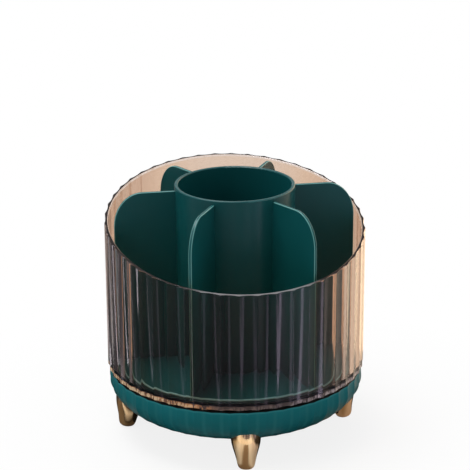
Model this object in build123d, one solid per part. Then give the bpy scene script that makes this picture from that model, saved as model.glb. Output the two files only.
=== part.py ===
from build123d import *
from math import cos, pi, radians, sin, tan
import os

# Rotating holder for make-up brushes and bottles, in millimetres.
# A clear fluted case and a removable divider turn on a footed base that hides a ball bearing.
# Z points up from the table, and the origin is on the table, under the axis.
# The low side of the slanted case faces -Y. The base stands a few degrees round from it.

# Fluting, the same number of ridges on the case and on the base
ridge_count = 46
ridge_front = -90.0  # azimuth of one ridge, in degrees

# Clear case
case_radius = 70.0  # to the ridges
case_flute_depth = 0.7
case_wall = 2.2  # at a ridge
case_floor = 3.0
case_bottom_chamfer = 0.8
case_floor_round = 1.2  # inside, between the floor and the wall
case_rim_round = 0.5  # both edges of the slanted rim
case_front_height = 63.9  # of the slanted rim, above the underside of the case
case_back_height = 98.0
turn_gap = 0.5  # dark joint between the base and the turning case

# Base, a fluted bowl with an upright brim and a flank that curves in underneath
base_turn = -4.3  # degrees from the case to the base
base_setback = 0.8  # ridges of the base inside those of the case
base_flute_depth = 0.55
base_flute_depth_low = 0.25  # where the flank runs into the underside
base_depth = 21.5
base_wall = 2.4
base_floor = 2.4
brim_height = 7.8
brim_chamfer = 0.5
flank_inset = 15.5
flank_power = 1.58  # exponent of the flank's superellipse
flank_stations = 6

# Feet, tapered plugs that splay outward and take a screw each
foot_count = 4
foot_height = 14.3  # under the base
foot_tip_inset = 8.5  # from the ridges of the base in to the middle of a tip
foot_splay = 8.4
foot_top_width = 16.4
foot_top_slope = 0.06  # sideways run of the flank for each millimetre up
foot_shoulder_width = 15.4  # where the foot meets the underside of the base
foot_waist_width = 12.7
foot_waist_height = 9.0
foot_tip_width = 10.0
foot_tip_slope = 0.18
foot_tip_rounding = 3.8
foot_tip_flat = 4.0
foot_boss_radius = 5.5
foot_boss_height = 5.8
foot_screw_radius = 1.7
foot_screw_length = 18.0
foot_screw_head_radius = 3.2
foot_screw_head_height = 2.0
foot_screw_head_round = 0.9

# Ball bearing
ball_count = 18
ball_diameter = 5.0
ball_circle_inset = 25.2  # from the ridges of the base in to the circle of the balls
ball_clearance = 0.1
race_land_height = 6.5  # of the seat under the lower race, above the floor of the base
race_thickness = 2.0
race_width = 7.6
race_gap = 2.6  # between the faces of the two races
race_side_clearance = 0.05
race_lip_height = 0.8
race_lip_width = 1.4
cage_thickness = 1.6
cage_width = 7.2

# Centre post and its bush
post_radius = 6.0
post_shoulder_radius = 9.5
post_shoulder_height = 3.8
post_clearance = 0.03
bush_wall = 1.9
hub_clearance = 0.08
hub_wall = 3.4
hub_floor = 2.4
hub_end_gap = 0.5
axial_play = 0.2
washer_thickness = 1.2
washer_overlap = 3.4  # of the washer over the hub
washer_side_clearance = 1.1
centre_screw_radius = 2.0
centre_screw_length = 12.5
centre_head_radius = 3.8
centre_head_height = 2.4
centre_head_round = 1.1
centre_head_clearance = 0.7

# Turntable that carries the case
turntable_thickness = 2.4
turntable_side_clearance = 1.05
skirt_wall = 2.4
skirt_height = 4.0
rib_count = 8
rib_thickness = 1.6
rib_depth = 3.4
base_rib_height = 3.0
rib_root = 0.5  # of a rib inside what it joins at each end

# Screws that hold the case down on the turntable
case_screw_count = 4
case_screw_circle = 26.0
case_screw_radius = 1.45
case_screw_length = 9.0
case_screw_head_radius = 2.9
case_screw_head_height = 1.6
case_boss_radius = 3.6
case_boss_end = 1.2  # plastic past the end of the screw

# Every screw and its hole
screw_hole_clearance = 0.05
screw_end_clearance = 0.5
screw_tip_length = 1.5
screw_tip_radius = 0.6

# Removable divider: a round tray with a brush cup and six partitions in one moulding
divider_side_clearance = 2.4
divider_seat_gap = 0.1
tray_thickness = 2.0
tray_edge_round = 0.6
cup_rim_radius = 32.3
cup_wall = 2.0
cup_draft = 0.5  # degrees
cup_height = 98.6  # above the underside of the tray
cup_rim_round = 0.7
partition_count = 6
partition_thickness = 1.8
partition_drop = 2.3  # from the rim of the cup down to the top of a partition
partition_setback = 0.3  # of the upright edge from the edge of the tray
partition_corner_width = 15.1
partition_corner_height = 18.3
partition_edge_round = 0.5
quarter_turn = 90.0  # of the rounded corner

# Heights above the table
base_bottom = foot_height
base_floor_top = base_bottom + base_floor
base_rim = base_bottom + base_depth
case_bottom = base_rim + turn_gap
case_floor_top = case_bottom + case_floor
turntable_under = case_bottom - turntable_thickness
lower_race_bottom = base_floor_top + race_land_height
lower_race_top = lower_race_bottom + race_thickness
ball_height = lower_race_top + race_gap / 2
upper_race_bottom = lower_race_top + race_gap
upper_race_top = upper_race_bottom + race_thickness
hub_top = case_bottom - axial_play - washer_thickness - centre_head_height - centre_head_clearance
post_top = hub_top + axial_play
shoulder_top = base_floor_top + post_shoulder_height
divider_bottom = case_floor_top + divider_seat_gap
tray_top = divider_bottom + tray_thickness
cup_rim = divider_bottom + cup_height
partition_top = cup_rim - partition_drop
foot_boss_top = base_floor_top / cos(radians(foot_splay)) + foot_boss_height
foot_screw_end = foot_boss_top - foot_screw_length

# Radii about the axis
case_bore = case_radius - case_wall
base_radius = case_radius - base_setback
base_bore = base_radius - base_flute_depth - base_wall
flank_centre = base_radius - flank_inset
foot_tip_radius = base_radius - foot_tip_inset
turntable_radius = base_bore - turntable_side_clearance
ball_pitch_radius = base_radius - ball_circle_inset
race_inner = ball_pitch_radius - race_width / 2
race_outer = ball_pitch_radius + race_width / 2
land_inner = race_inner - race_lip_width
land_outer = race_outer + race_lip_width
bush_bore = post_radius + post_clearance
bush_radius = bush_bore + bush_wall
hub_bore = bush_radius + hub_clearance
hub_radius = hub_bore + hub_wall
washer_radius = hub_bore + washer_overlap
recess_radius = washer_radius + washer_side_clearance
hub_cup_radius = recess_radius + skirt_wall
tray_radius = case_bore - divider_side_clearance
cup_narrowing = (cup_height - tray_thickness) * tan(radians(cup_draft))
cup_foot_radius = cup_rim_radius - cup_narrowing

bottom_up = (Align.CENTER, Align.CENTER, Align.MIN)


def disc(radius, low, high):
    """Upright cylinder on the axis between two heights."""
    return Pos(0, 0, low) * Cylinder(radius, high - low, align=bottom_up)


def ring(outer, inner, low, high):
    """Upright tube on the axis between two heights."""
    return disc(outer, low, high) - disc(inner, low, high)


def around(shape, count, start=0.0):
    """Copies of a shape spaced evenly about the axis."""
    return [Rot(0, 0, start + 360.0 * i / count) * shape for i in range(count)]


def fluted_outline(radius, depth, height):
    """Closed line of shallow hollow arcs that meet in ridges."""
    pitch = 2 * pi / ridge_count

    def at(distance, step):
        angle = radians(ridge_front) + step * pitch
        return (distance * cos(angle), distance * sin(angle), height)

    arcs = []
    for i in range(ridge_count):
        hollow = at(radius - depth, i + 0.5)
        arcs.append(Edge.make_three_point_arc(at(radius, i), hollow, at(radius, i + 1)))
    return Wire(arcs)


def fluted_body(stations, ruled):
    """Solid through fluted outlines given as radius, flute depth and height."""
    return Part() + Solid.make_loft([fluted_outline(*station) for station in stations], ruled)


def superellipse(centre_radius, centre_height, width, drop, share):
    """Point on the flank's curve, from its upright end at share 0 to its level end at share 1."""
    angle = share * pi / 2
    power = 2 / flank_power
    return (
        centre_radius + width * max(cos(angle), 0.0) ** power,
        centre_height - drop * sin(angle) ** power,
    )


def base_outside():
    """The base as a full solid, with the flutes fading out towards the underside."""
    shoulder = base_rim - brim_height
    brim_top = base_rim - brim_chamfer
    drop = shoulder - base_bottom
    stations = []
    for i in range(flank_stations, -1, -1):
        share = i / flank_stations
        radius, height = superellipse(flank_centre, shoulder, flank_inset, drop, share)
        depth = base_flute_depth + (base_flute_depth_low - base_flute_depth) * share
        stations.append((radius, depth, height))
    stations.append((base_radius, base_flute_depth, (shoulder + brim_top) / 2))
    stations.append((base_radius, base_flute_depth, brim_top))
    chamfer = [
        (base_radius, base_flute_depth, brim_top),
        (base_radius - brim_chamfer, base_flute_depth, base_rim),
    ]
    return fluted_body(stations, False) + fluted_body(chamfer, True)


def base_hollow():
    """Inside of the bowl, which follows the flank one wall further in."""
    shoulder = base_rim - brim_height
    width = base_bore - flank_centre
    drop = shoulder - base_floor_top
    points = []
    for i in range(flank_stations + 1):
        points.append(superellipse(flank_centre, shoulder, width, drop, i / flank_stations))
    with BuildSketch(Plane.XZ) as section:
        with BuildLine():
            curve = Spline(*points, tangents=[(0, -1), (-1, 0)])
            Line(curve @ 1, (0, base_floor_top))
            Line((0, base_floor_top), (0, base_rim))
            Line((0, base_rim), (base_bore, base_rim))
            Line((base_bore, base_rim), curve @ 0)
        make_face()
    return revolve(section.sketch, Axis.Z)


def radial_rib(inner, outer, low, height):
    """Rib towards +X between two round walls, with its ends inside them."""
    length = outer - inner + 2 * rib_root
    rib = Box(length, rib_thickness, height, align=(Align.MIN, Align.CENTER, Align.MIN))
    return Pos(inner - rib_root, 0, low) * rib


def race_seat(low, high, lip_low, lip_high):
    """Raised ring with a lip on each side that centres a race."""
    seat = ring(land_outer, land_inner, low, high)
    outer_lip = ring(land_outer, race_outer + race_side_clearance, lip_low, lip_high)
    inner_lip = ring(race_inner - race_side_clearance, land_inner, lip_low, lip_high)
    return seat + outer_lip + inner_lip


def foot_frame(index):
    """Placement of a foot: origin at the middle of its tip, local Z up along its leaning axis."""
    lean = Pos(foot_tip_radius, 0, 0) * Rot(0, -foot_splay, 0)
    return Rot(0, 0, base_turn + 360.0 * index / foot_count) * lean


def foot_plug():
    """Full tapered plug along local Z, longer than the foot so that the base can trim it."""
    flat = foot_tip_flat / 2
    tip = foot_tip_width / 2
    waist = foot_waist_width / 2
    shoulder = foot_shoulder_width / 2
    top = foot_top_width / 2
    below = flat * tan(radians(foot_splay))
    with BuildSketch(Plane.XZ) as section:
        with BuildLine():
            Line((0, -below), (flat, -below))
            rounding = Spline(
                (flat, -below), (tip, foot_tip_rounding), tangents=[(1, 0), (foot_tip_slope, 1)]
            )
            side = Spline(
                rounding @ 1,
                (waist, foot_waist_height),
                (shoulder, foot_height),
                (top, foot_boss_top),
                tangents=[(foot_tip_slope, 1), (foot_top_slope, 1)],
            )
            Line(side @ 1, (0, foot_boss_top))
            Line((0, foot_boss_top), (0, -below))
        make_face()
    return revolve(section.sketch, Axis.Z)


def screw_shank(radius, top, end):
    """Shank and tapered tip on the local Z axis, from a height down to the end of the screw."""
    tip_top = end + screw_tip_length
    shank = Pos(0, 0, tip_top) * Cylinder(radius, top - tip_top, align=bottom_up)
    tip = Pos(0, 0, end) * Cone(screw_tip_radius, radius, screw_tip_length, align=bottom_up)
    return shank + tip


def pan_screw(radius, length, head_radius, head_height, head_round):
    """Screw with a rounded head above local z = 0 and its shank below."""
    head = Cylinder(head_radius, head_height, align=bottom_up)
    head = fillet(head.edges().group_by(Axis.Z)[-1], head_round)
    return head + screw_shank(radius, 0, -length)


def flat_screw(radius, length, head_radius, head_height):
    """Countersunk screw with its top at local z = 0."""
    head = Pos(0, 0, -head_height) * Cone(radius, head_radius, head_height, align=bottom_up)
    return head + screw_shank(radius, -head_height, -length)


def case_screw_frames():
    """Places of the screws through the floor of the case, at its upper face."""
    spot = Pos(case_screw_circle, 0, case_floor_top)
    start = 180.0 / case_screw_count
    return [Rot(0, 0, start + 360.0 * i / case_screw_count) * spot for i in range(case_screw_count)]


def base_bowl(outside):
    """Fluted base with the bearing seat, the post, ribs and the bosses that the feet screw to."""
    outside = Rot(0, 0, base_turn) * outside
    bowl = outside - base_hollow()
    lip_top = lower_race_bottom + race_lip_height
    bowl += race_seat(base_floor_top, lower_race_bottom, lower_race_bottom, lip_top)
    bowl += disc(post_shoulder_radius, base_floor_top, shoulder_top)
    bowl += disc(post_radius, base_floor_top, post_top)
    rib = radial_rib(post_shoulder_radius, land_inner, base_floor_top, base_rib_height)
    bowl += around(rib, rib_count)
    boss = Cylinder(foot_boss_radius, foot_boss_top, align=bottom_up)
    bosses = [foot_frame(i) * boss for i in range(foot_count)]
    bowl += (Part() + bosses) & outside
    hole = Cylinder(foot_screw_radius + screw_hole_clearance, foot_boss_top, align=bottom_up)
    bowl -= [foot_frame(i) * hole for i in range(foot_count)]
    pilot_end = post_top + washer_thickness - centre_screw_length - screw_end_clearance
    bowl -= disc(centre_screw_radius + screw_hole_clearance, pilot_end, post_top)
    return bowl


def foot(index, outside):
    """One foot, trimmed to the fluted flank above and level at the table."""
    plug = foot_frame(index) * foot_plug()
    pilot = Pos(0, 0, foot_screw_end - screw_end_clearance) * Cylinder(
        foot_screw_radius + screw_hole_clearance, foot_boss_top, align=bottom_up
    )
    shape = plug - Rot(0, 0, base_turn) * outside - foot_frame(index) * pilot
    return split(shape, bisect_by=Plane.XY, keep=Keep.TOP)


def race(low):
    """Bearing ring with a groove that follows the balls."""
    groove = Pos(0, 0, ball_height) * Torus(ball_pitch_radius, ball_diameter / 2 + ball_clearance)
    return ring(race_outer, race_inner, low, low + race_thickness) - groove


def ball_cage():
    """Flat ring with one pocket for each ball."""
    low = ball_height - cage_thickness / 2
    high = ball_height + cage_thickness / 2
    inner = ball_pitch_radius - cage_width / 2
    outer = ball_pitch_radius + cage_width / 2
    pocket = Pos(ball_pitch_radius, 0, low) * Cylinder(
        ball_diameter / 2 + ball_clearance, cage_thickness, align=bottom_up
    )
    return ring(outer, inner, low, high) - around(pocket, ball_count)


def bearing_balls():
    """The balls, each a solid of its own."""
    ball = Pos(ball_pitch_radius, 0, ball_height) * Sphere(ball_diameter / 2)
    return Compound([copy.solid() for copy in around(ball, ball_count)])


def turntable():
    """Disc under the case, with a hub, a seat for the upper race, ribs and screw bosses."""
    plate = disc(turntable_radius, turntable_under, case_bottom)
    skirt_low = turntable_under - skirt_height
    plate += ring(turntable_radius, turntable_radius - skirt_wall, skirt_low, turntable_under)
    lip_low = upper_race_top - race_lip_height
    plate += race_seat(upper_race_top, turntable_under, lip_low, upper_race_top)
    plate += disc(hub_cup_radius, hub_top - hub_floor, turntable_under)
    plate += disc(hub_radius, shoulder_top + hub_end_gap, hub_top)
    rib = radial_rib(hub_cup_radius, land_inner, turntable_under - rib_depth, rib_depth)
    plate += around(rib, rib_count)
    boss_low = case_floor_top - case_screw_length - case_boss_end
    hole_radius = case_screw_radius + screw_hole_clearance
    for place in case_screw_frames():
        spot = Pos(place.position.X, place.position.Y, boss_low)
        plate += spot * Cylinder(case_boss_radius, turntable_under - boss_low, align=bottom_up)
        pilot = place * Pos(0, 0, -(case_screw_length + screw_end_clearance))
        plate -= pilot * Cylinder(hole_radius, case_screw_length, align=bottom_up)
    plate -= disc(hub_bore, shoulder_top, hub_top)
    plate -= disc(recess_radius, hub_top, case_bottom)
    return plate


def centre_bush():
    """Plain sleeve on the post that the hub turns on."""
    return ring(bush_radius, bush_bore, shoulder_top, post_top)


def centre_washer():
    """Washer that keeps the turntable on the post."""
    hole_radius = centre_screw_radius + screw_hole_clearance
    return ring(washer_radius, hole_radius, post_top, post_top + washer_thickness)


def clear_case():
    """Clear fluted case with a slanted rim, a chamfered foot edge and countersunk holes in its floor."""
    chamfer_top = case_bottom + case_bottom_chamfer
    chamfer = [
        (case_radius - case_bottom_chamfer, case_flute_depth, case_bottom),
        (case_radius, case_flute_depth, chamfer_top),
    ]
    top = case_bottom + case_back_height
    wall = [(case_radius, case_flute_depth, chamfer_top), (case_radius, case_flute_depth, top)]
    case = fluted_body(chamfer, True) + fluted_body(wall, True)
    hollow = disc(case_bore, case_floor_top, top)
    case -= fillet(hollow.edges().group_by(Axis.Z)[0], case_floor_round)
    rise = (case_back_height - case_front_height) / (2 * case_radius)
    middle = case_bottom + (case_front_height + case_back_height) / 2
    rim = Plane(origin=(0, 0, middle), x_dir=(1, 0, 0), z_dir=(0, -rise, 1))
    case = split(case, bisect_by=rim, keep=Keep.BOTTOM)
    case = fillet(case.faces().filter_by(rim).edges(), case_rim_round)
    hole_radius = case_screw_radius + screw_hole_clearance
    sink_radius = case_screw_head_radius + screw_hole_clearance
    for place in case_screw_frames():
        hole = place * Pos(0, 0, -case_floor) * Cylinder(hole_radius, case_floor, align=bottom_up)
        sink = place * Pos(0, 0, -case_screw_head_height) * Cone(
            hole_radius, sink_radius, case_screw_head_height, align=bottom_up
        )
        case = case - hole - sink
    return case


def partition():
    """One upright plate of the divider, towards +X, with a rounded outer corner and softened edges."""
    inner = cup_foot_radius - cup_wall / 2
    outer = tray_radius - partition_setback
    root = tray_top - tray_thickness / 2
    corner_x = outer - partition_corner_width
    corner_z = partition_top - partition_corner_height
    with BuildSketch(Plane.XZ) as section:
        with BuildLine():
            Line((inner, root), (outer, root))
            Line((outer, root), (outer, corner_z))
            EllipticalCenterArc(
                (corner_x, corner_z),
                partition_corner_width,
                partition_corner_height,
                arc_size=quarter_turn,
            )
            Line((corner_x, partition_top), (inner, partition_top))
            Line((inner, partition_top), (inner, root))
        make_face()
    plate = extrude(section.sketch, partition_thickness / 2, both=True)
    outline = plate.faces().filter_by(Axis.Y).edges()
    soft = outline.filter_by(lambda edge: edge.center().Z > root and edge.center().X > cup_foot_radius)
    return fillet(soft, partition_edge_round)


def divider():
    """Tray, brush cup and partitions in one piece."""
    tray = disc(tray_radius, divider_bottom, tray_top)
    tray = fillet(tray.edges().group_by(Axis.Z)[-1], tray_edge_round)
    depth = cup_rim - tray_top
    outside = Pos(0, 0, tray_top) * Cone(cup_foot_radius, cup_rim_radius, depth, align=bottom_up)
    inside = Pos(0, 0, tray_top) * Cone(
        cup_foot_radius - cup_wall, cup_rim_radius - cup_wall, depth, align=bottom_up
    )
    cup = outside - inside
    cup = fillet(cup.edges().group_by(Axis.Z)[-1], cup_rim_round)
    plates = Part() + around(partition(), partition_count)
    plates -= inside
    return tray + cup + plates


def write(name, shape):
    """Writes one piece to its own file."""
    export_step(shape, os.path.join("parts", name + ".step"))


def main():
    os.makedirs("parts", exist_ok=True)
    outside = base_outside()
    write("base_bowl", base_bowl(outside))
    foot_screw = Pos(0, 0, foot_boss_top) * pan_screw(
        foot_screw_radius,
        foot_screw_length,
        foot_screw_head_radius,
        foot_screw_head_height,
        foot_screw_head_round,
    )
    for index, side in enumerate(("right", "rear", "left", "front")):
        write("foot_" + side, foot(index, outside))
        write("foot_screw_" + side, foot_frame(index) * foot_screw)
    write("lower_race", race(lower_race_bottom))
    write("upper_race", race(upper_race_bottom))
    write("ball_cage", ball_cage())
    write("bearing_balls", bearing_balls())
    write("centre_bush", centre_bush())
    write("centre_washer", centre_washer())
    centre_screw = pan_screw(
        centre_screw_radius,
        centre_screw_length,
        centre_head_radius,
        centre_head_height,
        centre_head_round,
    )
    write("centre_screw", Pos(0, 0, post_top + washer_thickness) * centre_screw)
    write("turntable", turntable())
    write("clear_case", clear_case())
    case_screw = flat_screw(
        case_screw_radius, case_screw_length, case_screw_head_radius, case_screw_head_height
    )
    for number, place in enumerate(case_screw_frames(), 1):
        write("case_screw_" + str(number), place * case_screw)
    write("divider", divider())


main()
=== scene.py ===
import math

import bmesh
import bpy
from mathutils import Matrix, Vector


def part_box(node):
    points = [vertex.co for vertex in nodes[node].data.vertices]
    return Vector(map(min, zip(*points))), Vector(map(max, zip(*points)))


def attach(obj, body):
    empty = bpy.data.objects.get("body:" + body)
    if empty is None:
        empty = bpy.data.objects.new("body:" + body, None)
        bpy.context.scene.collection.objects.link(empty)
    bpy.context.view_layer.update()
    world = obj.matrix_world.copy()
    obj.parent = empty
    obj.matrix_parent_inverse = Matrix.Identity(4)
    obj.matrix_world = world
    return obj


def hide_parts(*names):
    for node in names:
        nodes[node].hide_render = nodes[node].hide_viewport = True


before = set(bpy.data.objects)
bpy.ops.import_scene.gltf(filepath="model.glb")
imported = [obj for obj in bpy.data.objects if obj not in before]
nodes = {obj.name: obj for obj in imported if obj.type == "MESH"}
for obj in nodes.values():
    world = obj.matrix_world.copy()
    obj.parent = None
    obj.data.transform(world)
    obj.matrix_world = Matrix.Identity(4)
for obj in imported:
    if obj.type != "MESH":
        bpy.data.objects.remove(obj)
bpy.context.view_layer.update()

MM = 0.001

# Clear case, in metres; its place and its radius come from the frame
CASE_LOW, CASE_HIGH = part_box("clear_case")
CASE_RADIUS = CASE_HIGH.y
CASE_WALL = 2.2 * MM
CASE_FLOOR = 3.0 * MM
CASE_CHAMFER = 0.8 * MM
FRONT_HEIGHT = 63.9 * MM  # of the slanted rim, over the case's foot
BACK_HEIGHT = 98.0 * MM
RIM_ROUND = 0.5 * MM  # outer edge of the rim
RIM_EASE = 0.9 * MM  # inner edge of the rim
FLOOR_ROUND = 1.2 * MM  # corner between the bore and the floor
SEAT_GAP = 0.02 * MM  # between the clear floor and the turntable under it
BORE_RADIUS = CASE_RADIUS - CASE_WALL
BOTTOM = CASE_LOW.z + SEAT_GAP
FLOOR_TOP = CASE_LOW.z + CASE_FLOOR

# Flutes of the case; the base has as many
RIDGES = 46
RIDGE_FRONT = math.radians(-90)
FLUTE_DEPTH = 0.7 * MM
CREST = 0.06  # half of a ridge's rounded top, as a share of the pitch

# Countersunk screw holes in the case's floor
HOLE_COUNT = 4
HOLE_CIRCLE = 26.0 * MM
HOLE_RADIUS = 1.5 * MM
SINK_RADIUS = 2.95 * MM
SINK_DEPTH = 1.6 * MM

# Fineness of the case's mesh
FLUTE_STEPS = (0.0, 0.03, 0.06, 0.14, 0.25, 0.38, 0.5, 0.62, 0.75, 0.86, 0.94, 0.97)  # shares of the pitch
ROUND_STEPS = 5
FLOOR_RINGS = (0.3, 0.6, 0.85)  # shares of the case's radius
OUTER_FLOOR_RING = 0.95  # one more of them under the floor
HOLD = 0.6 * MM  # flat strip beside each round, which keeps the wall's normals level
HOLE_SIDES = 32
FLAT = 0.99  # least upright share of the normal on a flat of the floor
SHARP = math.radians(40)

# Base and divider
BASE_FOOT, BASE_RIM = (corner.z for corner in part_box("base_bowl"))
TRAY_FLOOR = 2.0 * MM
TRAY_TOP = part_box("divider")[0].z + TRAY_FLOOR
TRAY_RADIUS = 65.4 * MM
CUP_RADIUS = 32.3 * MM
PARTITIONS = 6

# Camera at the photograph's viewpoint, found by fitting the case, the cup, the partitions and the feet
CAMERA_DISTANCE = 936.7 * MM
CAMERA_HEIGHT = 433.8 * MM
CAMERA_AZIMUTH = math.radians(-99.4)
CAMERA_PITCH = math.radians(19.137)
CAMERA_ROLL = math.radians(-0.269)
CAMERA_LENS = 141.09  # in millimetres, as is the sensor's width
CAMERA_SENSOR = 36.0
CAMERA_CLIP = 0.01


def make_camera():
    """Camera that looks down at the object."""
    data = bpy.data.cameras.new("camera")
    data.lens = CAMERA_LENS
    data.sensor_width = CAMERA_SENSOR
    data.clip_start = CAMERA_CLIP
    camera = bpy.data.objects.new("camera", data)
    bpy.context.scene.collection.objects.link(camera)
    place = Vector((
        CAMERA_DISTANCE * math.cos(CAMERA_AZIMUTH),
        CAMERA_DISTANCE * math.sin(CAMERA_AZIMUTH),
        CAMERA_HEIGHT,
    ))
    heading = CAMERA_AZIMUTH + math.pi
    look = Vector((
        math.cos(heading) * math.cos(CAMERA_PITCH),
        math.sin(heading) * math.cos(CAMERA_PITCH),
        -math.sin(CAMERA_PITCH),
    ))
    turn = look.to_track_quat("-Z", "Y").to_matrix().to_4x4()
    camera.matrix_world = Matrix.Translation(place) @ turn @ Matrix.Rotation(CAMERA_ROLL, 4, "Z")
    bpy.context.scene.camera = camera


make_camera()


# Nodes of the materials

def connect(tree, socket, value):
    """Links an input to an output, or sets it to a value."""
    if isinstance(value, bpy.types.NodeSocket):
        tree.links.new(value, socket)
    else:
        socket.default_value = value


def dress(tree, node, **inputs):
    """Sets or links the inputs of a node by name, with _ for a space."""
    for name, value in inputs.items():
        connect(tree, node.inputs[name.replace("_", " ")], value)


def put(tree, kind, settings=None, **inputs):
    """New shader node with its settings and its inputs."""
    made = tree.nodes.new("ShaderNode" + kind)
    for name, value in (settings or {}).items():
        setattr(made, name, value)
    dress(tree, made, **inputs)
    return made


def calculate(tree, operation, first, second):
    """Result of an operation on two outputs or numbers."""
    made = put(tree, "Math", {"operation": operation})
    connect(tree, made.inputs[0], first)
    connect(tree, made.inputs[1], second)
    return made.outputs[0]


def multiply(tree, first, *others):
    """Product of outputs or numbers."""
    for other in others:
        first = calculate(tree, "MULTIPLY", first, other)
    return first


def own_place(tree):
    """Place in the object's own frame."""
    return put(tree, "TexCoord").outputs["Object"]


def own_axes(tree):
    """X, Y and Z in the object's own frame."""
    return put(tree, "SeparateXYZ", Vector=own_place(tree)).outputs


def azimuth(tree, axes):
    """Angle around the upright axis."""
    return calculate(tree, "ARCTAN2", axes["Y"], axes["X"])


def distance(tree, axes):
    """Distance from the upright axis."""
    flat = put(tree, "CombineXYZ", X=axes["X"], Y=axes["Y"]).outputs[0]
    return put(tree, "VectorMath", {"operation": "LENGTH"}, Vector=flat).outputs["Value"]


def noise(tree, scale, stretch=(1, 1, 1), detail=3.0, roughness=0.5):
    """Noise in the object's own frame; scale is per metre."""
    place = put(tree, "Mapping", Vector=own_place(tree), Scale=stretch).outputs[0]
    made = put(tree, "TexNoise", Vector=place, Scale=scale, Detail=detail, Roughness=roughness)
    return made.outputs["Fac"]


def spread(tree, value, low, high, start=0.3, end=0.7):
    """A value between start and end, spread from low to high; by default the middle of a noise."""
    inputs = {"From_Min": start, "From_Max": end, "To_Min": low, "To_Max": high}
    return put(tree, "MapRange", Value=value, **inputs).outputs["Result"]


def rise(tree, value, span):
    """0 before a span of values, and 1 after it."""
    return spread(tree, value, 0.0, 1.0, *span)


def fall(tree, value, span):
    """1 before a span of values, and 0 after it."""
    return spread(tree, value, 1.0, 0.0, *span)


def band(tree, value, first, last):
    """1 between two spans of values, and 0 outside them."""
    return multiply(tree, rise(tree, value, first), fall(tree, value, last))


def ramp(tree, value, stops):
    """Colour that changes with a value, from stops of position and colour."""
    made = put(tree, "ValToRGB", Fac=value)
    elements = made.color_ramp.elements
    while len(elements) < len(stops):
        elements.new(1.0)
    for element, (position, colour) in zip(elements, stops):
        element.position = position
        element.color = (*colour, 1)
    return made.outputs["Color"]


def tinge(tree, share, colour, other):
    """Colour mixed with a plain one by a share."""
    return put(tree, "MixRGB", Fac=share, Color1=colour, Color2=(*other, 1)).outputs[0]


def darken(tree, colour, shade):
    """Colour multiplied by a shade."""
    return put(tree, "MixRGB", {"blend_type": "MULTIPLY"}, Fac=1.0, Color1=colour, Color2=shade).outputs[0]


def bump(tree, height, depth, strength, under=None):
    """Normal from a height, in metres of depth, over another normal if there is one."""
    made = put(tree, "Bump", Height=height, Distance=depth, Strength=strength)
    if under is not None:
        connect(tree, made.inputs["Normal"], under)
    return made.outputs["Normal"]


def material(name):
    """New material, with its nodes and its main shader."""
    made = bpy.data.materials.new(name)
    made.use_nodes = True
    tree = made.node_tree
    return made, tree, tree.nodes["Principled BSDF"]


def surface(tree, out, share, first, second):
    """Gives an output node a mix of two shaders; the share is the second one's."""
    mix = put(tree, "MixShader", Fac=share)
    tree.links.new(first.outputs[0], mix.inputs[1])
    tree.links.new(second.outputs[0], mix.inputs[2])
    tree.links.new(mix.outputs[0], out.inputs["Surface"])


# Opaque materials

GREEN_TONES = ((0.3, (0.0035, 0.090, 0.094)), (0.7, (0.0055, 0.104, 0.113)))
GOLD_TONES = ((0.3, (0.70, 0.50, 0.30)), (0.7, (0.88, 0.70, 0.48)))
STEEL_TONES = ((0.3, (0.52, 0.52, 0.53)), (0.7, (0.66, 0.66, 0.66)))
WHITE_TONES = ((0.3, (0.80, 0.80, 0.77)), (0.7, (0.86, 0.86, 0.83)))

# Flank of the base: painted shade by height, painted highlights on the ridges and under the rim, and a
# painted shadow of the seam at the rim
FLANK_PAINTED_SHADE = ((0.0, (0.28, 0.29, 0.31)), (0.9, (0.95, 0.95, 1.0)))
# painted highlight along each ridge
RIDGE_HIGHLIGHT_FADE = (0.3 * MM / CASE_RADIUS, 1.5 * MM / CASE_RADIUS)  # angle from a ridge's crest
RIDGE_HIGHLIGHT_SHARE = 0.22
RIDGE_HIGHLIGHT_GREEN = (0.030, 0.185, 0.190)
# painted highlight under the rim, and over it the painted shadow of the seam
RIM_HIGHLIGHT_SPAN = (BASE_RIM - 1.9 * MM, BASE_RIM - 1.1 * MM)
RIM_HIGHLIGHT_GREEN = (0.020, 0.185, 0.205)
SEAM_SHADOW_SPAN = (BASE_RIM - 0.8 * MM, BASE_RIM - 0.5 * MM)
SEAM_SHADOW_BLACK = (0.0015, 0.0025, 0.0025)

# Divider: painted highlights on the edge of the tray floor and on both borders of each partition's edge
TRAY_SIDE = (TRAY_RADIUS - 1.0 * MM, TRAY_RADIUS - 0.6 * MM)
TRAY_RISE = (TRAY_TOP - 0.9 * MM, TRAY_TOP - 0.5 * MM)
TRAY_FALL = (TRAY_TOP + 0.1 * MM, TRAY_TOP + 0.6 * MM)
TRAY_HIGHLIGHT_GREEN = (0.20, 0.50, 0.58)
BORDER_RISE = (0.45 * MM, 0.55 * MM)  # from the middle plane of a partition
BORDER_FALL = (0.80 * MM, 0.88 * MM)
BORDER_START = (CUP_RADIUS, CUP_RADIUS + 1.0 * MM)
BORDER_HIGHLIGHT_GREEN = (0.14, 0.38, 0.36)


def green_plastic(name, roughness, gloss, painted_brightness=1.0, painted_light=None):
    """Satin-gloss moulded plastic, with a faint drift of colour and a hardly felt grain; where asked, light
    and shade are painted into its colour, as a lighter or darker tone and as marks.
    """
    made, tree, shader = material(name)
    drift = noise(tree, scale=18.0, detail=2.0)
    colour = ramp(tree, drift, [(place, [painted_brightness * part for part in tone]) for place, tone in GREEN_TONES])
    if painted_light:
        colour = painted_light(tree, colour)
    dress(
        tree, shader,
        Base_Color=colour,
        Roughness=spread(tree, noise(tree, scale=160.0), *roughness),
        Normal=bump(tree, noise(tree, scale=120.0, detail=1.0), depth=0.02 * MM, strength=0.1),
        Specular_IOR_Level=gloss,
        IOR=1.48,
    )
    return made


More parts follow.
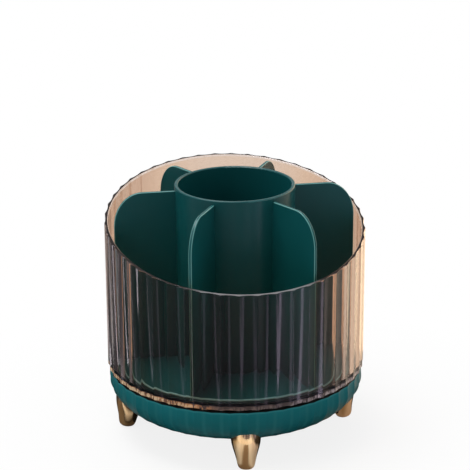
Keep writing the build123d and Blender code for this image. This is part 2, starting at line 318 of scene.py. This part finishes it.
def base_painted_light(tree, colour):
    """Flank painted darker towards its foot as shade, with painted highlights on the ridges and in a line
    under the rim, and a painted black shadow in the seam.
    """
    axes = own_axes(tree)
    height = rise(tree, axes["Z"], (BASE_FOOT, BASE_RIM))
    colour = darken(tree, colour, ramp(tree, height, FLANK_PAINTED_SHADE))
    turn = calculate(tree, "SUBTRACT", azimuth(tree, axes), RIDGE_FRONT)
    from_ridge = calculate(tree, "PINGPONG", turn, math.pi / RIDGES)
    colour = tinge(tree, spread(tree, from_ridge, RIDGE_HIGHLIGHT_SHARE, 0.0, *RIDGE_HIGHLIGHT_FADE), colour, RIDGE_HIGHLIGHT_GREEN)
    colour = tinge(tree, rise(tree, axes["Z"], RIM_HIGHLIGHT_SPAN), colour, RIM_HIGHLIGHT_GREEN)
    return tinge(tree, rise(tree, axes["Z"], SEAM_SHADOW_SPAN), colour, SEAM_SHADOW_BLACK)


def insert_painted_highlights(tree, colour):
    """Edge of the tray floor and both borders of the partitions' edges, painted with the highlights they
    catch.
    """
    axes = own_axes(tree)
    radius = distance(tree, axes)
    tray = multiply(tree, rise(tree, radius, TRAY_SIDE), band(tree, axes["Z"], TRAY_RISE, TRAY_FALL))
    colour = tinge(tree, tray, colour, TRAY_HIGHLIGHT_GREEN)
    from_plane = calculate(tree, "PINGPONG", azimuth(tree, axes), math.pi / PARTITIONS)
    border = band(tree, multiply(tree, radius, from_plane), BORDER_RISE, BORDER_FALL)
    border = multiply(tree, border, rise(tree, radius, BORDER_START))
    return tinge(tree, border, colour, BORDER_HIGHLIGHT_GREEN)


def gold_plating():
    """Champagne-gold plating over moulded plastic, whose slow waves draw the reflections into streaks."""
    made, tree, shader = material("gold_plating")
    waves = noise(tree, scale=260.0, stretch=(1, 1, 0.1), detail=2.0)
    fine = noise(tree, scale=900.0)
    normal = bump(tree, waves, depth=0.3 * MM, strength=0.8)
    dress(
        tree, shader,
        Base_Color=ramp(tree, waves, GOLD_TONES),
        Metallic=1.0,
        Roughness=spread(tree, fine, low=0.07, high=0.15),
        Normal=bump(tree, fine, depth=0.01 * MM, strength=0.2, under=normal),
    )
    return made


def bright_steel():
    """Ground steel with fine rings."""
    made, tree, shader = material("bright_steel")
    grain = noise(tree, scale=2600.0, stretch=(1, 1, 0.2))
    dress(
        tree, shader,
        Base_Color=ramp(tree, grain, STEEL_TONES),
        Metallic=1.0,
        Roughness=spread(tree, grain, low=0.16, high=0.26),
        Normal=bump(tree, grain, depth=0.005 * MM, strength=0.3),
    )
    return made


def white_bearing_plastic():
    """White low-friction plastic with a slightly waxy, uneven gloss."""
    made, tree, shader = material("white_bearing_plastic")
    cloud = noise(tree, scale=320.0)
    dress(
        tree, shader,
        Base_Color=ramp(tree, cloud, WHITE_TONES),
        Roughness=spread(tree, cloud, low=0.38, high=0.52),
        Normal=bump(tree, noise(tree, scale=1500.0), depth=0.01 * MM, strength=0.25),
    )
    return made


# Clear plastic, whose tints go by how far a face turns away; the tan of the wall as it turns away, and of the
# bore throughout, is a painted warm reflection

CLEAR_TINT_AND_WARM_REFLECTION = ((0.30, (0.965, 0.955, 0.96)), (0.60, (0.82, 0.74, 0.71)), (0.95, (0.68, 0.57, 0.50)))
BORE_TINT_AND_WARM_REFLECTION = (
    (0.06, (0.95, 0.80, 0.68)), (0.20, (0.88, 0.63, 0.45)),
    (0.36, (0.68, 0.44, 0.31)), (0.85, (0.60, 0.37, 0.24)),
)
FLOOR_TINT = ((0.3, (0.97, 0.96, 0.96)), (0.9, (0.90, 0.87, 0.86)))
WARM_FILM = (0.70, 0.55, 0.45)  # tan of what passes straight through the wall: a painted warm reflection on the inner wall, and painted shade that dims the light inside
PALE_SMOKE = (0.92, 0.91, 0.91)  # and through the floor
EASED = 0.8  # share of what leaves that passes straight, against black bars from total reflection
CLEAR_IOR = 1.49

# Rim of the case: a painted dark line that turns to a painted grey reflection towards the front, over a span
# of Y
RIM_REFLECTION_FRONT = (-66 * MM, -58 * MM)
RIM_CLOUD = 0.2  # share of noise in its tone
RIM_PAINTED_TONES = ((0.0, (0.012, 0.008, 0.008)), (0.2, (0.028, 0.020, 0.019)), (0.9, (0.24, 0.24, 0.25)))

# Painted band at the foot of the case: spans of height and of X, and colours by the glow of its painted
# glints and reflections
# painted shadow of the seam
SEAM_SHADOW_EDGE = (CASE_LOW.z + 0.4 * MM, CASE_LOW.z + 0.7 * MM)
BAND_EDGE = (CASE_LOW.z + 2.2 * MM, CASE_LOW.z + 2.9 * MM)
BAND_TOP = 0.35  # share of the glow over the band's edge
BAND_LEAST = 0.06  # least glow along the band
GLINTS = (0.45, 0.57)  # values of the noise over which a glint comes up
GLINTS_GLOW = (0.16, 1.0)
# painted reflections, brighter at the left and the right
LEFT_SPAN = (-50 * MM, -22 * MM)
LEFT_GLOW = (1.4, 0.12)
RIGHT_SPAN = (5 * MM, 40 * MM)
RIGHT_GLOW = (0.0, 0.5)
WARM_TO_COOL = (-20 * MM, 20 * MM)
WARM_GLINTS = (
    (0.0, (0.010, 0.007, 0.007)), (0.10, (0.13, 0.085, 0.080)),
    (0.35, (0.55, 0.24, 0.10)), (1.0, (1.0, 0.74, 0.46)),
)
COOL_GLINTS = (
    (0.0, (0.010, 0.007, 0.007)), (0.10, (0.15, 0.12, 0.12)),
    (0.35, (0.40, 0.33, 0.34)), (1.0, (1.0, 0.94, 0.92)),
)


def clear_plastic(name, tint, film, eased):
    """Clear plastic; lamps shine straight through it, and so does a share of what leaves it."""
    made, tree, shader = material(name)
    # colour by facing: the plastic's tint, and for the wall and the bore a painted warm reflection
    facing = put(tree, "LayerWeight", Blend=0.5).outputs["Facing"]
    flow = noise(tree, scale=240.0, stretch=(1, 1, 0.06), detail=2.0)
    dress(
        tree, shader,
        Base_Color=ramp(tree, facing, tint),
        Transmission_Weight=1.0,
        IOR=CLEAR_IOR,
        Specular_Tint=(0.96, 0.90, 1.0, 1),
        Roughness=spread(tree, noise(tree, scale=90.0), low=0.0, high=0.02),
        Normal=bump(tree, flow, depth=0.06 * MM, strength=0.1),
    )
    path = put(tree, "LightPath").outputs
    passing = calculate(tree, "MAXIMUM", path["Is Shadow Ray"], path["Is Diffuse Ray"])
    if eased:
        leaving = multiply(tree, put(tree, "NewGeometry").outputs["Backfacing"], eased)
        passing = calculate(tree, "MAXIMUM", passing, leaving)
    straight = put(tree, "BsdfTransparent", Color=(*film, 1))
    surface(tree, tree.nodes["Material Output"], passing, shader, straight)
    return made


def clear_rim():
    """Flat of the rim, painted with the dark line that the light caught in the wall leaves, and with a
    painted grey reflection where it is lowest.
    """
    made, tree, shader = material("clear_rim")
    cloud = noise(tree, scale=300.0)
    front = fall(tree, own_axes(tree)["Y"], RIM_REFLECTION_FRONT)
    tone = calculate(tree, "ADD", front, multiply(tree, cloud, RIM_CLOUD))
    dress(
        tree, shader,
        Base_Color=ramp(tree, tone, RIM_PAINTED_TONES),
        Roughness=spread(tree, cloud, low=0.14, high=0.24),
        Normal=bump(tree, cloud, depth=0.02 * MM, strength=0.3),
        IOR=CLEAR_IOR,
        Specular_IOR_Level=0.07,
    )
    return made


def clear_edge():
    """Edge of the clear floor, painted: a dark seam shadow under a band of glints and reflections, warm at
    the left and cool at the right.
    """
    made, tree, shader = material("clear_edge")
    axes = own_axes(tree)
    glints = noise(tree, scale=760.0, stretch=(1, 1, 0.3), detail=1.0, roughness=0.6)
    low = spread(tree, axes["Z"], 1.0, BAND_TOP, *BAND_EDGE)
    # painted reflections, brighter at the left and the right
    left = spread(tree, axes["X"], *LEFT_GLOW, *LEFT_SPAN)
    right = spread(tree, axes["X"], *RIGHT_GLOW, *RIGHT_SPAN)
    sides = calculate(tree, "MAXIMUM", left, right)
    glow = multiply(tree, spread(tree, glints, *GLINTS_GLOW, *GLINTS), low, sides)
    glow = calculate(tree, "MAXIMUM", glow, multiply(tree, low, BAND_LEAST))
    # painted shadow of the seam at the foot
    glow = multiply(tree, glow, rise(tree, axes["Z"], SEAM_SHADOW_EDGE))
    share = rise(tree, axes["X"], WARM_TO_COOL)
    warm = ramp(tree, glow, WARM_GLINTS)
    cool = ramp(tree, glow, COOL_GLINTS)
    dress(
        tree, shader,
        Base_Color=put(tree, "MixRGB", Fac=share, Color1=warm, Color2=cool).outputs[0],
        Metallic=0.35,
        Transmission_Weight=0.15,
        IOR=CLEAR_IOR,
        Roughness=spread(tree, glints, low=0.16, high=0.26),
        Normal=bump(tree, noise(tree, scale=900.0, detail=1.0), depth=0.10 * MM, strength=0.5),
    )
    return made


# Materials of the pieces

# The base's tone is painted lighter, to take the painted shade of its flank, and the insert's is painted
# darker as shade
green_base = green_plastic("green_base", (0.28, 0.34), gloss=0.06, painted_brightness=1.42, painted_light=base_painted_light)
green_turntable = green_plastic("green_turntable", (0.28, 0.36), gloss=0.2)
green_insert = green_plastic("green_insert", (0.28, 0.33), gloss=0.34, painted_brightness=0.85, painted_light=insert_painted_highlights)
gold = gold_plating()
steel = bright_steel()
white = white_bearing_plastic()
clear = clear_plastic("clear_plastic", CLEAR_TINT_AND_WARM_REFLECTION, WARM_FILM, EASED)
clear_bore = clear_plastic("clear_bore", BORE_TINT_AND_WARM_REFLECTION, WARM_FILM, 0.0)
clear_floor = clear_plastic("clear_floor", FLOOR_TINT, PALE_SMOKE, EASED)
rim_line = clear_rim()
edge = clear_edge()
CASE_FINISHES = (clear, edge, clear_bore, rim_line, clear_floor)  # slots of the case's mesh, in order


def finish_of(name):
    """Material of a node, by what the piece is made of."""
    if name == "clear_case":
        return clear
    if name in ("ball_cage", "centre_bush"):
        return white
    if "screw" in name or "race" in name or name in ("bearing_balls", "centre_washer"):
        return steel
    if name.startswith("foot_"):
        return gold
    if name == "turntable":
        return green_turntable
    return green_insert if name == "divider" else green_base


for name, node in nodes.items():
    node.data.materials.clear()
    node.data.materials.append(finish_of(name))


# Clear case

def rim_height(y):
    """Height of the slanted rim over a place."""
    share = (y + CASE_RADIUS) / (2 * CASE_RADIUS)
    return CASE_LOW.z + FRONT_HEIGHT + (BACK_HEIGHT - FRONT_HEIGHT) * share


def under_rim(drop):
    """Height at a distance under the rim, as a function of the place."""
    return lambda y: rim_height(y) - drop


def flute_share(step):
    """Share of the flute's depth at a step from the nearest ridge: a parabola, and another over the crest."""
    if step < CREST:
        share = 2 * CREST + (2 - 4 * CREST) * step ** 2 / CREST
    else:
        share = 4 * step * (1 - step)
    return (share - 2 * CREST) / (1 - 2 * CREST)


def flute_columns():
    """Azimuth and share of the flute's depth of each column of vertices."""
    pitch = 2 * math.pi / RIDGES
    columns = []
    for i in range(RIDGES):
        for step in FLUTE_STEPS:
            columns.append((RIDGE_FRONT + (i + step) * pitch, flute_share(min(step, 1 - step))))
    return columns


def quarter_round(radius):
    """Distances from the side and from the top of points on a quarter round, from its side to its top."""
    turns = [step / (ROUND_STEPS - 1) * math.pi / 2 for step in range(ROUND_STEPS)]
    return [(radius * (1 - math.cos(turn)), radius * (1 - math.sin(turn))) for turn in turns]


def ring_mesh(name, rings):
    """Closed surface through rings of points, whose first and last rings are a point each."""
    bm = bmesh.new()
    rows = [[bm.verts.new(point) for point in ring] for ring in rings]
    count = len(rows[1])
    for low, high in zip(rows, rows[1:]):
        for j in range(count):
            k = (j + 1) % count
            if len(low) == 1:
                bm.faces.new((low[0], high[k], high[j]))
            elif len(high) == 1:
                bm.faces.new((low[j], low[k], high[0]))
            else:
                bm.faces.new((low[j], low[k], high[k], high[j]))
    for face in bm.faces:
        face.smooth = True
    mesh = bpy.data.meshes.new(name)
    bm.to_mesh(mesh)
    bm.free()
    return mesh


def case_rings(columns):
    """Rings of the case's surface, and the rows of faces whose finish is not that of the flutes.

    The rings go from the middle of the bottom up the flutes, over the rim and down the bore.
    A row of faces has the number of the ring that it starts from.
    """
    def ring(radius, depth, height):
        points = []
        for angle, share in columns:
            r = radius - share * depth
            x, y = r * math.cos(angle), r * math.sin(angle)
            points.append((x, y, height(y) if callable(height) else height))
        return points

    def outer(inset, height):
        return ring(CASE_RADIUS - inset, FLUTE_DEPTH, height)

    def inner(radius, height):
        return ring(radius, 0.0, height)

    rings = [[(0, 0, BOTTOM)]]
    for share in (*FLOOR_RINGS, OUTER_FLOOR_RING):
        rings.append(inner(share * CASE_RADIUS, BOTTOM))
    rings.append(outer(CASE_CHAMFER, BOTTOM))
    rings.append(outer(0, BOTTOM + CASE_CHAMFER))
    rings.append(outer(0, FLOOR_TOP))
    edge_rows = range(len(rings) - 3, len(rings) - 1)
    rings.append(outer(0, FLOOR_TOP + CASE_CHAMFER))
    rings.append(outer(0, under_rim(RIM_ROUND + HOLD)))
    for inset, drop in quarter_round(RIM_ROUND):
        rings.append(outer(inset, under_rim(drop)))
    rim_rows = range(len(rings) - 3, len(rings) + 1)
    for inset, drop in reversed(quarter_round(RIM_EASE)):
        rings.append(inner(BORE_RADIUS + inset, under_rim(drop)))
    bore_rows = range(len(rings) - 1, len(rings) + 2)
    rings.append(inner(BORE_RADIUS, under_rim(RIM_EASE + HOLD)))
    rings.append(inner(BORE_RADIUS, FLOOR_TOP + FLOOR_ROUND + HOLD))
    for inset, lift in quarter_round(FLOOR_ROUND):
        rings.append(inner(BORE_RADIUS - inset, FLOOR_TOP + lift))
    for share in reversed(FLOOR_RINGS):
        rings.append(inner(share * CASE_RADIUS, FLOOR_TOP))
    rings.append([(0, 0, FLOOR_TOP)])
    return rings, ((edge, edge_rows), (clear_bore, bore_rows), (rim_line, rim_rows))


def clear_case():
    """The case as one fine mesh: flutes outside, a smooth bore, and rounds at the rim and the floor."""
    columns = flute_columns()
    rings, finished_rows = case_rings(columns)
    mesh = ring_mesh("case_shell", rings)
    for finish in CASE_FINISHES:
        mesh.materials.append(finish)
    for finish, rows in finished_rows:
        for face in mesh.polygons[rows.start * len(columns):rows.stop * len(columns)]:
            face.material_index = CASE_FINISHES.index(finish)
    for face in mesh.polygons:
        if abs(face.normal.z) > FLAT and face.center.z < FLOOR_TOP + FLOOR_ROUND:
            face.material_index = CASE_FINISHES.index(clear_floor)
    made = bpy.data.objects.new("case_shell", mesh)
    bpy.context.scene.collection.objects.link(made)
    cut_holes(made)
    made.data.set_sharp_from_angle(angle=SHARP)
    return made


def hole_cutters():
    """Mesh of the countersunk holes, a turned profile each, whose heights count from the floor's top."""
    profile = [(0, -CASE_FLOOR - MM), (HOLE_RADIUS, -CASE_FLOOR - MM), (HOLE_RADIUS, -SINK_DEPTH)]
    profile += [(SINK_RADIUS, 0), (SINK_RADIUS, MM), (0, MM)]
    bm = bmesh.new()
    for i in range(HOLE_COUNT):
        angle = (i + 0.5) * 2 * math.pi / HOLE_COUNT
        x, y = HOLE_CIRCLE * math.cos(angle), HOLE_CIRCLE * math.sin(angle)
        rows = []
        for radius, height in profile:
            turns = range(HOLE_SIDES) if radius else [0]
            rows.append([bm.verts.new((
                x + radius * math.cos(2 * math.pi * k / HOLE_SIDES),
                y + radius * math.sin(2 * math.pi * k / HOLE_SIDES),
                FLOOR_TOP + height,
            )) for k in turns])
        for low, high in zip(rows, rows[1:]):
            for k in range(HOLE_SIDES):
                m = (k + 1) % HOLE_SIDES
                corners = [low[k % len(low)], low[m % len(low)], high[m % len(high)], high[k % len(high)]]
                bm.faces.new(list(dict.fromkeys(corners)))
    mesh = bpy.data.meshes.new("holes")
    bm.to_mesh(mesh)
    bm.free()
    return mesh


def cut_holes(shell):
    """Cuts the countersunk screw holes in the floor."""
    cutter = bpy.data.objects.new("holes", hole_cutters())
    bpy.context.scene.collection.objects.link(cutter)
    cut = shell.modifiers.new("holes", "BOOLEAN")
    cut.object = cutter
    cut.operation = "DIFFERENCE"
    cut.solver = "EXACT"
    done = bpy.data.meshes.new_from_object(shell.evaluated_get(bpy.context.evaluated_depsgraph_get()))
    shell.modifiers.clear()
    unused = (shell.data, cutter.data)
    shell.data = done
    bpy.data.objects.remove(cutter)
    for mesh in unused:
        bpy.data.meshes.remove(mesh)
    done.name = "case_shell"


case = clear_case()
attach(case, "carousel")
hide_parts("clear_case")


# Floor, cards, world and lights

FLOOR_REACH = 4.0  # half of a side
FLOOR_TONES = ((0.3, (0.90, 0.90, 0.90)), (0.7, (0.93, 0.93, 0.93)))
FLOOR_SHADE = 0.84  # share of plain white in the floor close to the object
SHADE_FADE = (0.06, 0.19)  # distances over which it turns plain white
MATT = 0.9  # roughness of the floor and the cards
CARD_HOLE = 1.0 * MM  # radii where one card ends and the next begins, from the middle outwards
CARD_NEAR = 0.055
CARD_MIDDLE = 0.10
CARD_OUTER = 0.145
CARD_FAR = 1.3
CARD_TOP = 0.9  # height of the outermost one
CARD_LIFT = 0.4 * MM  # over the floor
CARD_STEP = 4  # degrees
NEAR_GLOW = 0.22
STRIP_GLOW = 3.0
STRIP_FADE = 1.3  # half width of a strip with its borders, as a share of its own
BLACK = (0, 0, 0)
DUSK = (0.06, 0.05, 0.04)
FIRST_BOUNCE = 0.5  # halfway between no bounce and one
AMBIENT = 0.37
PLAIN_WHITE = (1, 1, 1, 1)
LIGHT_TARGET = Vector((0, 0, 0.06))


def flag_white(tree, path):
    """1 for rays that look at the background: from the camera, by a mirror or through glass."""
    seen = calculate(tree, "MAXIMUM", path["Is Camera Ray"], path["Is Transmission Ray"])
    seen = calculate(tree, "MAXIMUM", seen, path["Is Glossy Ray"])
    direct = calculate(tree, "LESS_THAN", path["Diffuse Depth"], FIRST_BOUNCE)
    return multiply(tree, seen, direct)


def make_floor():
    """Pale floor that is white to look at, with the object's shadow."""
    mesh = bpy.data.meshes.new("floor")
    corners = [(x * FLOOR_REACH, y * FLOOR_REACH, 0) for x, y in ((-1, -1), (1, -1), (1, 1), (-1, 1))]
    mesh.from_pydata(corners, [], [(0, 1, 2, 3)])
    floor = bpy.data.objects.new("floor", mesh)
    bpy.context.scene.collection.objects.link(floor)
    made, tree, shader = material("floor")
    colour = ramp(tree, noise(tree, scale=60.0), FLOOR_TONES)
    dress(tree, shader, Base_Color=colour, Roughness=MATT, Specular_IOR_Level=0.0)
    path = put(tree, "LightPath").outputs
    mirrored = multiply(tree, path["Is Glossy Ray"], path["Is Reflection Ray"])
    near = multiply(tree, calculate(tree, "SUBTRACT", 1.0, mirrored), FLOOR_SHADE)
    share = spread(tree, distance(tree, own_axes(tree)), near, 1.0, *SHADE_FADE)
    plain = put(tree, "Emission", Strength=1.0)
    surface(tree, tree.nodes["Material Output"], multiply(tree, share, flag_white(tree, path)), shader, plain)
    mesh.materials.append(made)


def card_mesh(name, near, far, top):
    """Ring laid on the floor, and stood up at its far edge if it has a top."""
    bm = bmesh.new()
    columns = []
    for degrees in range(-180, 180, CARD_STEP):
        x, y = math.cos(math.radians(degrees)), math.sin(math.radians(degrees))
        column = [(near * x, near * y, CARD_LIFT), (far * x, far * y, CARD_LIFT)]
        if top:
            column.append((far * x, far * y, top))
        columns.append([bm.verts.new(point) for point in column])
    for one, other in zip(columns, columns[1:] + columns[:1]):
        for low in range(len(one) - 1):
            bm.faces.new((one[low], one[low + 1], other[low + 1], other[low]))
    mesh = bpy.data.meshes.new(name)
    bm.to_mesh(mesh)
    bm.free()
    return mesh


def turn_share(degrees):
    """Share of a full turn at an angle from the camera."""
    return (degrees + 180) / 360


def card_paint(name, tones, glow, strips):
    """Tones by the angle from the camera, and strips that glow where no glass was passed before.

    Only what a glossy surface mirrors shows them. A strip is its angle, half its width and its tone.
    """
    made, tree, shader = material(name)
    turn = spread(tree, azimuth(tree, own_axes(tree)), 0.0, 1.0, -math.pi, math.pi)
    colour = ramp(tree, turn, [(turn_share(degrees), tone) for degrees, tone in tones])
    dress(tree, shader, Base_Color=colour, Roughness=MATT, Specular_IOR_Level=0.0)
    if glow:
        dress(tree, shader, Emission_Color=colour, Emission_Strength=glow)
    path = put(tree, "LightPath").outputs
    if strips:
        glows = []
        for degrees, half, tone in strips:
            fade = STRIP_FADE * half
            for offset, shade in ((-fade, BLACK), (-half, tone), (half, tone), (fade, BLACK)):
                glows.append((turn_share(degrees + offset), shade))
        outside = calculate(tree, "LESS_THAN", path["Transmission Depth"], FIRST_BOUNCE)
        strength = multiply(tree, outside, STRIP_GLOW)
        dress(tree, shader, Emission_Color=ramp(tree, turn, glows), Emission_Strength=strength)
    mirrored = calculate(tree, "GREATER_THAN", path["Glossy Depth"], FIRST_BOUNCE)
    surface(tree, tree.nodes["Material Output"], mirrored, put(tree, "BsdfTransparent"), shader)
    return made


def card(name, near, far, tones, top=0.0, glow=0.0, strips=()):
    """Card around the object, which faces the camera with its zero angle."""
    mesh = card_mesh(name, near, far, top)
    mesh.materials.append(card_paint(name, tones, glow, strips))
    made = bpy.data.objects.new(name, mesh)
    made.rotation_euler.z = CAMERA_AZIMUTH
    bpy.context.scene.collection.objects.link(made)
    made.visible_camera = False
    made.visible_diffuse = False
    made.visible_shadow = False


def near_tones():
    """What the feet mirror, by degrees from the camera."""
    shade = (0.17, 0.13, 0.09)
    brown = (0.34, 0.25, 0.17)
    sand = (0.62, 0.50, 0.34)
    cream = (0.92, 0.86, 0.78)
    rose = (0.85, 0.72, 0.66)
    copper = (0.50, 0.32, 0.18)
    deep_copper = (0.50, 0.32, 0.17)
    tan = (0.72, 0.54, 0.42)
    return [
        (-180, DUSK), (-98, DUSK), (-93, shade), (-79, shade), (-77, DUSK), (-75, cream), (-73, cream),
        (-71, DUSK), (-52, DUSK), (-36, DUSK), (-29, sand), (-12, cream), (-3, cream), (-1, brown),
        (7, brown), (10, cream), (27, rose), (33, DUSK), (56, DUSK), (64, copper), (84, deep_copper),
        (90, tan), (97, tan), (102, DUSK), (180, DUSK),
    ]


def flute_tones():
    """What the flutes mirror left of the camera, in front of it close by, and right of it."""
    ink = (0.05, 0.05, 0.06)
    soot = (0.09, 0.09, 0.10)
    dark = (0.13, 0.10, 0.12)
    mauve = (0.40, 0.35, 0.42)
    silver = (0.60, 0.58, 0.60)
    apricot = (0.95, 0.84, 0.70)
    left = [
        (-180, (0.60, 0.54, 0.51)), (-158, (0.74, 0.70, 0.71)), (-148, soot), (-137, soot),
        (-132, silver), (-126, silver), (-121, ink), (-98, ink),
        (-88, (0.20, 0.19, 0.21)), (-76, (0.06, 0.06, 0.07)), (-48, dark),
    ]
    front = [(-38, dark), (-26, apricot), (26, apricot), (36, dark)]
    right = [
        (28, dark), (44, mauve), (56, mauve), (64, (0.12, 0.11, 0.12)),
        (74, (0.42, 0.36, 0.33)), (84, (0.30, 0.25, 0.22)), (94, (0.92, 0.78, 0.66)),
        (112, (1.0, 0.82, 0.64)), (180, (0.62, 0.54, 0.50)),
    ]
    return left, front, right


def make_cards():
    """Cards that only gloss picks up: tones close to the feet, and a dark front with bright strips."""
    left, front, right = flute_tones()
    card("card_under", CARD_HOLE, CARD_NEAR, [(-180, DUSK), (180, DUSK)])
    card("card_near", CARD_NEAR, CARD_MIDDLE, near_tones(), glow=NEAR_GLOW)
    card("card_middle", CARD_MIDDLE, CARD_OUTER, left + front + right[1:], strips=[
        (0, 27.0, (0.10, 0.085, 0.068)),
    ])
    card("card_far", CARD_OUTER, CARD_FAR, left + right, top=CARD_TOP, strips=[
        (-108, 2.0, (0.75, 0.70, 0.74)), (-82, 1.2, (0.26, 0.25, 0.28)),
        (-54, 1.6, (0.17, 0.16, 0.19)), (-27, 1.2, (0.22, 0.20, 0.24)),
        (-3, 1.6, (0.15, 0.14, 0.17)), (23, 2.0, (0.26, 0.23, 0.29)),
        (50, 3.0, (0.60, 0.54, 0.66)), (140, 20.0, (0.52, 0.38, 0.24)),
    ])


def make_world():
    """White background, and a softer even light on the object."""
    world = bpy.data.worlds.new("studio")
    bpy.context.scene.world = world
    world.use_nodes = True
    tree = world.node_tree
    tree.nodes.clear()
    seen = put(tree, "Background", Color=PLAIN_WHITE, Strength=1.0)
    light = put(tree, "Background", Color=PLAIN_WHITE, Strength=AMBIENT)
    surface(tree, put(tree, "OutputWorld"), flag_white(tree, put(tree, "LightPath").outputs), light, seen)


def area_light(name, place, size, power):
    """Soft lamp that shines at the middle of the object."""
    data = bpy.data.lights.new(name, "AREA")
    data.shape = "RECTANGLE"
    data.size, data.size_y = size
    data.energy = power
    light = bpy.data.objects.new(name, data)
    bpy.context.scene.collection.objects.link(light)
    light.location = place
    light.rotation_euler = (LIGHT_TARGET - Vector(place)).to_track_quat("-Z", "Y").to_euler()


make_floor()
make_cards()
make_world()
area_light("top", place=(-0.35, 0.25, 1.5), size=(0.9, 0.9), power=16)
area_light("left", place=(-1.3, -0.6, 0.9), size=(0.5, 1.0), power=3)
area_light("right", place=(1.4, -0.3, 0.8), size=(0.4, 1.0), power=2)

bpy.context.scene.view_settings.view_transform = "Standard"
